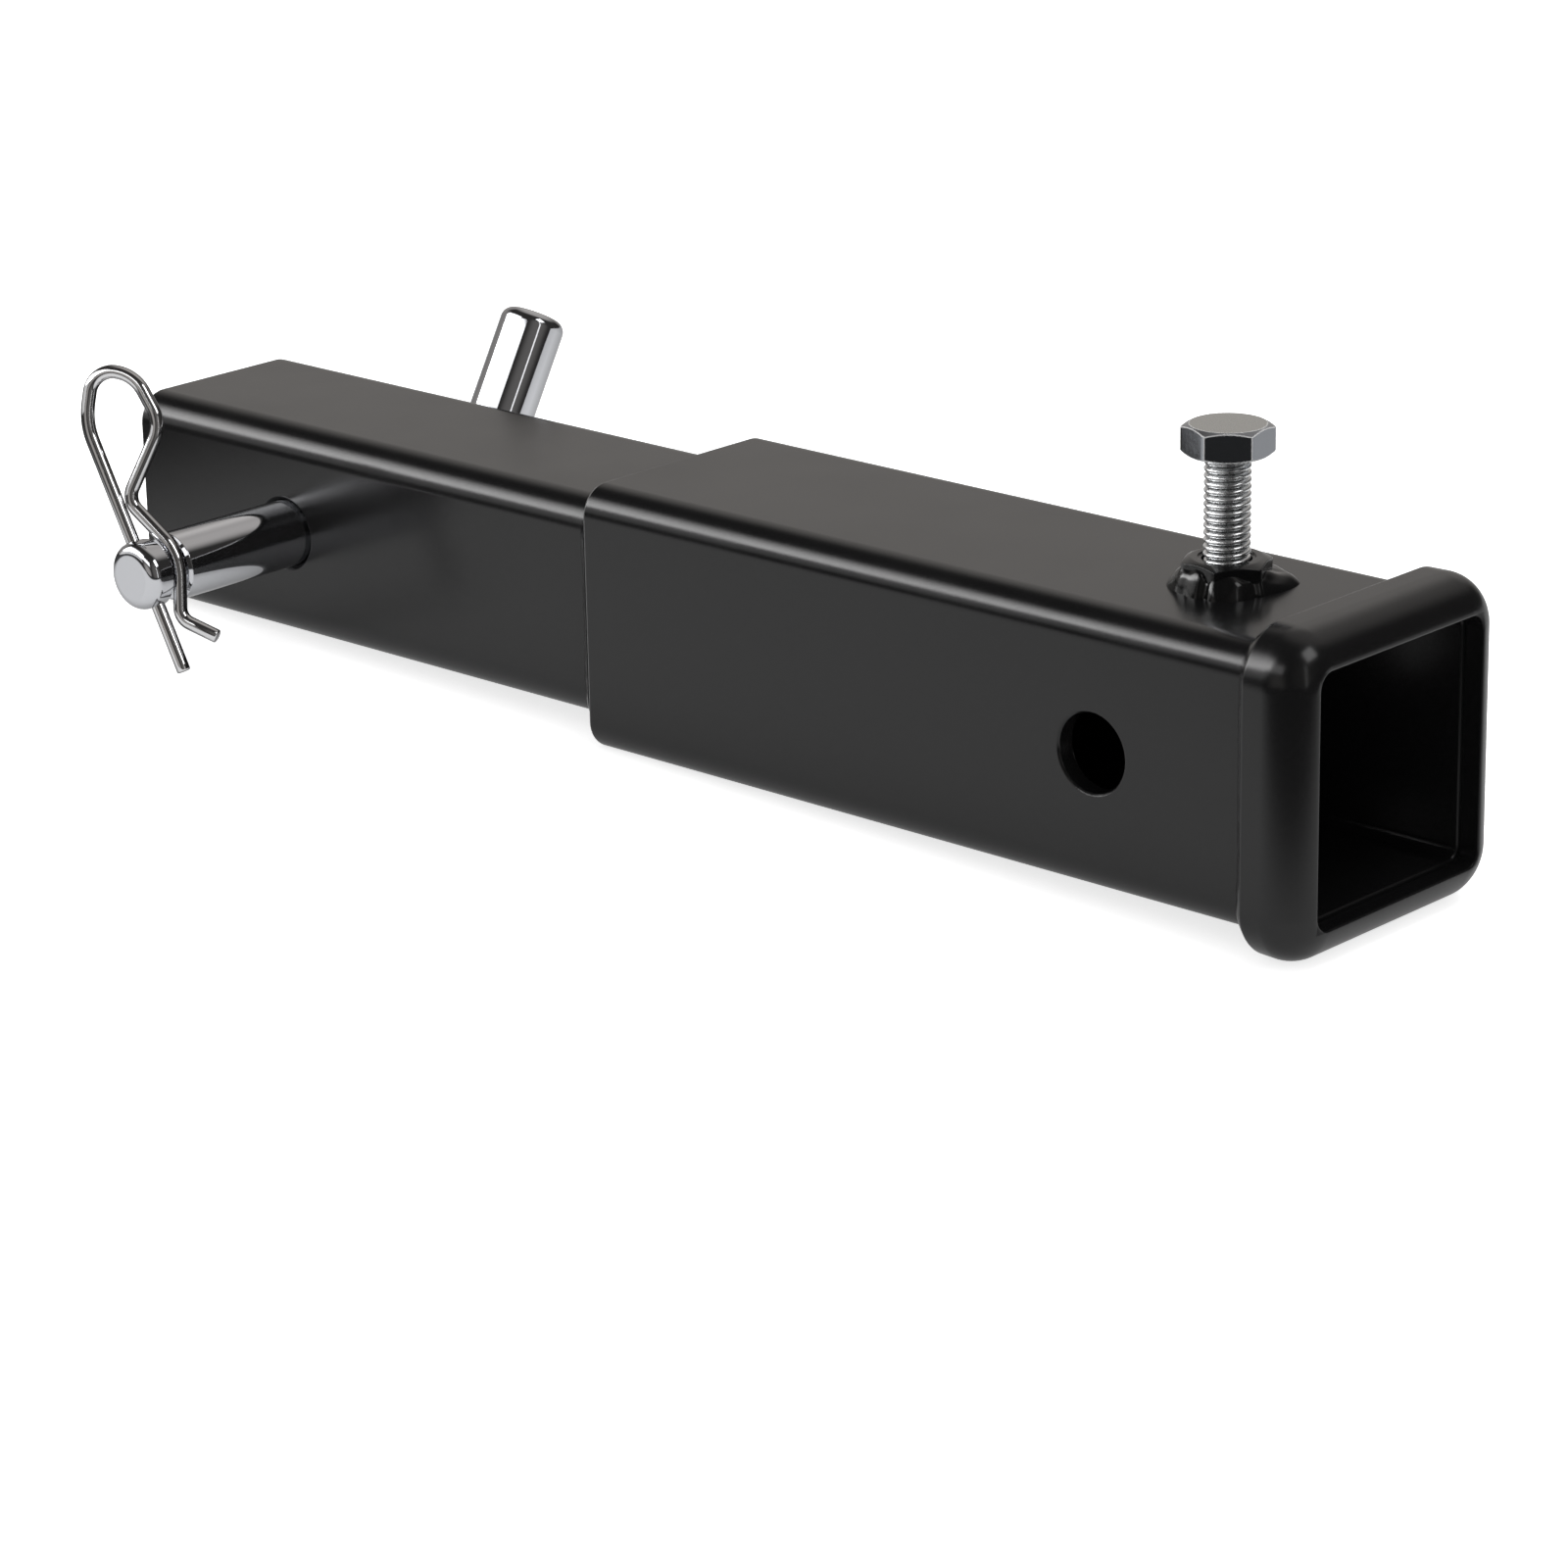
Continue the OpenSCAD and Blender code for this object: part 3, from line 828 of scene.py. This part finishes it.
# the floor: white to the camera, while reflections see a table that ends
FLOOR_SIZE, FLOOR_GAP = 6.0, 0.00005
FLOOR_WHITE, FLOOR_LIFT, FLOOR_GLOSS, FLOOR_GLOW = 0.9, 0.74, 0.76, 0.45
# the two points (x, z) that it stands on: the collar's foot and the shank's end
FLOOR_A = (MOUTH_X - COLLAR_ROUND, -COLLAR_HALF)
FLOOR_B = (SHANK_X, -SHANK_HALF)


def table_light(tree, pos):
    """The table is white near the object and ends towards the camera, so metal shows dark there."""
    end = away(tree, pos, (0.682, -0.731, 0), 0.07, 0.19, FLOOR_GLOSS, 0.04)
    far = away(tree, pos, (0, 1, 0), 0.1, 0.3, 1.0, 0.8)
    beyond = away(tree, pos, (-1, 0, 0), 0.33, 0.42, 0.0, 0.9)
    beside = away(tree, pos, (0, 1, 0), 0.14, 0.24, 1.0, 0.0)
    back = math_node(tree, "SUBTRACT", 1.0, math_node(tree, "MULTIPLY", beyond, beside))
    left = away(tree, pos, (-1, 0, 0), 0.5, 1.5, 1.0, 0.5)
    near_part = math_node(tree, "MULTIPLY", end, left)
    return math_node(tree, "MULTIPLY", near_part, math_node(tree, "MULTIPLY", back, far))


def floor_paint():
    """White with a lift for camera rays; reflections see half shaded, half glowing table light."""
    mat = bpy.data.materials.new("floor")
    mat.use_nodes = True
    tree = mat.node_tree
    tree.nodes.clear()
    out = tree.nodes.new("ShaderNodeOutputMaterial")
    rays = tree.nodes.new("ShaderNodeLightPath")
    geo = tree.nodes.new("ShaderNodeNewGeometry")
    paint = shader(tree, "ShaderNodeBsdfDiffuse", (FLOOR_WHITE, FLOOR_WHITE, FLOOR_WHITE, 1))
    strength = math_node(tree, "MULTIPLY", FLOOR_LIFT, rays.outputs["Is Camera Ray"])
    lifted = tree.nodes.new("ShaderNodeAddShader")
    tree.links.new(paint, lifted.inputs[0])
    tree.links.new(shader(tree, "ShaderNodeEmission", WHITE, strength), lifted.inputs[1])
    table = table_light(tree, geo.outputs["Position"])
    shaded = shader(tree, "ShaderNodeBsdfDiffuse", table)
    glowing = shader(tree, "ShaderNodeEmission", WHITE, table)
    reflected_table = either(tree, FLOOR_GLOW, shaded, glowing)
    seen = either(tree, rays.outputs["Is Glossy Ray"], lifted.outputs[0], reflected_table)
    tree.links.new(seen, out.inputs["Surface"])
    return mat


def build_floor():
    mesh = bpy.data.meshes.new("floor")
    s = FLOOR_SIZE
    mesh.from_pydata([(-s, -s, 0), (s, -s, 0), (s, s, 0), (-s, s, 0)], [], [(0, 1, 2, 3)])
    mesh.materials.append(floor_paint())
    ob = bpy.data.objects.new("floor", mesh)
    bpy.context.scene.collection.objects.link(ob)
    ob.location = (FLOOR_A[0] * MM, 0, FLOOR_A[1] * MM - FLOOR_GAP)
    tilt = math.atan2(FLOOR_A[1] - FLOOR_B[1], FLOOR_A[0] - FLOOR_B[0])
    ob.rotation_euler = (0, -tilt, 0)
    return ob


floor = build_floor()

# the room: plain white to the camera, and in reflections a pale backdrop behind and left of the
# object, dark towards the camera and overhead, with a few pale patches
ROOM_BACK, ROOM_BASE, ROOM_FILL = 0.46, 0.09, 0.6
ROOM_WARM = (1, 0.955, 0.915, 1)


def room_light(tree, ray):
    behind = away(tree, ray, (-0.66, 0.72, 0.2), 0.68, 0.97, 0.0, ROOM_BACK)
    overhead = away(tree, ray, (0, 0, 1), 0.60, 1.0, 1.0, 0.25)
    above = away(tree, ray, (-0.1, 0.58, 0.81), 0.76, 0.97, 0.0, 0.42)
    aside = away(tree, ray, (0.92, -0.3, 0.25), 0.78, 1.0, 0.35, 1.4)
    left = away(tree, ray, (-0.96, -0.2, 0.1), 0.8, 0.98, 0.0, 0.3)
    front = away(tree, ray, (0.12, -0.99, 0.05), 0.9, 0.985, 0.0, 0.32)
    patches = math_node(tree, "ADD", front, math_node(tree, "ADD", above, left))
    patches = math_node(tree, "ADD", patches, math_node(tree, "MULTIPLY", aside, ROOM_BASE))
    return math_node(tree, "ADD", math_node(tree, "MULTIPLY", behind, overhead), patches)


def build_room():
    world = bpy.data.worlds.new("studio")
    bpy.context.scene.world = world
    world.use_nodes = True
    tree = world.node_tree
    tree.nodes.clear()
    out = tree.nodes.new("ShaderNodeOutputWorld")
    rays = tree.nodes.new("ShaderNodeLightPath")
    coords = tree.nodes.new("ShaderNodeTexCoord")
    backdrop = shader(tree, "ShaderNodeBackground", WHITE, 1.0)
    fill = shader(tree, "ShaderNodeBackground", WHITE, ROOM_FILL)
    room = shader(tree, "ShaderNodeBackground", ROOM_WARM, room_light(tree, coords.outputs["Generated"]))
    lit = either(tree, rays.outputs["Is Glossy Ray"], fill, room)
    tree.links.new(either(tree, rays.outputs["Is Camera Ray"], lit, backdrop), out.inputs[0])


build_room()

# the lamps, aimed at the middle of the object; the key lamp's rise and tilt are in degrees
CENTRE = Vector((-0.12, 0, 0))
KEY_SIDE = Vector((-0.731, -0.682, 0))
KEY_RISE, KEY_TILT, KEY_WIDTH, LAMP_DISTANCE = 24, 19, 1.62, 1.5
# strips of the key lamp: slope above its middle line, height in m, radiance
KEY_STRIPS = (
    (-0.205, 0.42, 0.6),
    (0, 0.19, 6.5),
    (0.122, 0.19, 5.2),
    (0.244, 0.19, 3.2),
    (0.366, 0.19, 1.1),
)


def lamp(name, direction, distance, width, height, power):
    d = Vector(direction).normalized()
    light = bpy.data.lights.new(name, "AREA")
    light.shape = "RECTANGLE"
    light.size = width
    light.size_y = height
    light.energy = power
    ob = bpy.data.objects.new(name, light)
    ob.location = CENTRE + d * distance
    ob.rotation_mode = "QUATERNION"
    ob.rotation_quaternion = (-d).to_track_quat("-Z", "Y")
    bpy.context.scene.collection.objects.link(ob)
    return ob


def mirror_lamp(name, direction, width, height, radiance):
    """Lamp that only shows in reflections."""
    ob = lamp(name, direction, LAMP_DISTANCE, width, height, math.pi * width * height * radiance)
    ob.visible_diffuse = False
    return ob


def build_lamps():
    """A wide softbox on the left in strips, rising to the right and brightest low down with a dim
    foot, a wing of it towards the camera, two small lamps on the right and a diffuse one on top."""
    for k, (slope, height, radiance) in enumerate(KEY_STRIPS):
        a = math.radians(KEY_RISE) + math.atan(slope)
        direction = KEY_SIDE * math.cos(a) + Vector((0, 0, math.sin(a)))
        strip = mirror_lamp("key_%d" % k, direction, KEY_WIDTH, height, radiance)
        tilted = Quaternion((0, 0, 1), math.radians(KEY_TILT))
        strip.rotation_quaternion = strip.rotation_quaternion @ tilted
    mirror_lamp("wing", (0.0, -0.83, 0.56), width=1.12, height=0.4, radiance=1.6)
    mirror_lamp("high", (0.68, 0.12, 0.72), width=0.6, height=0.6, radiance=2.6)
    mirror_lamp("strip", (0.967, -0.18, 0.26), width=0.1, height=0.9, radiance=1.2)
    top = lamp("top", (0.1, 0.3, 1.0), distance=1.8, width=1.4, height=1.4, power=18)
    top.visible_glossy = False


build_lamps()

# the camera, where the photo was taken from
CAM_PLACE = (0.648398, -0.818001, 0.342954)
CAM_RIGHT = (0.73556076, 0.67722212, -0.01790457)
CAM_UP = (-0.20676267, 0.24958519, 0.94602137)
CAM_FORWARD = (-0.64513531, 0.6921542, -0.32360933)
CAM_SENSOR, CAM_LENS = 36.0, 121.02


def build_camera():
    data = bpy.data.cameras.new("camera")
    data.sensor_width = CAM_SENSOR
    data.lens = CAM_LENS
    data.clip_start = 0.05
    data.clip_end = 50
    cam = bpy.data.objects.new("camera", data)
    bpy.context.scene.collection.objects.link(cam)
    rows = [(r, u, -f, p) for r, u, f, p in zip(CAM_RIGHT, CAM_UP, CAM_FORWARD, CAM_PLACE)]
    cam.matrix_world = Matrix((*rows, (0, 0, 0, 1)))
    bpy.context.scene.camera = cam
    bpy.context.scene.view_settings.view_transform = "Standard"


build_camera()
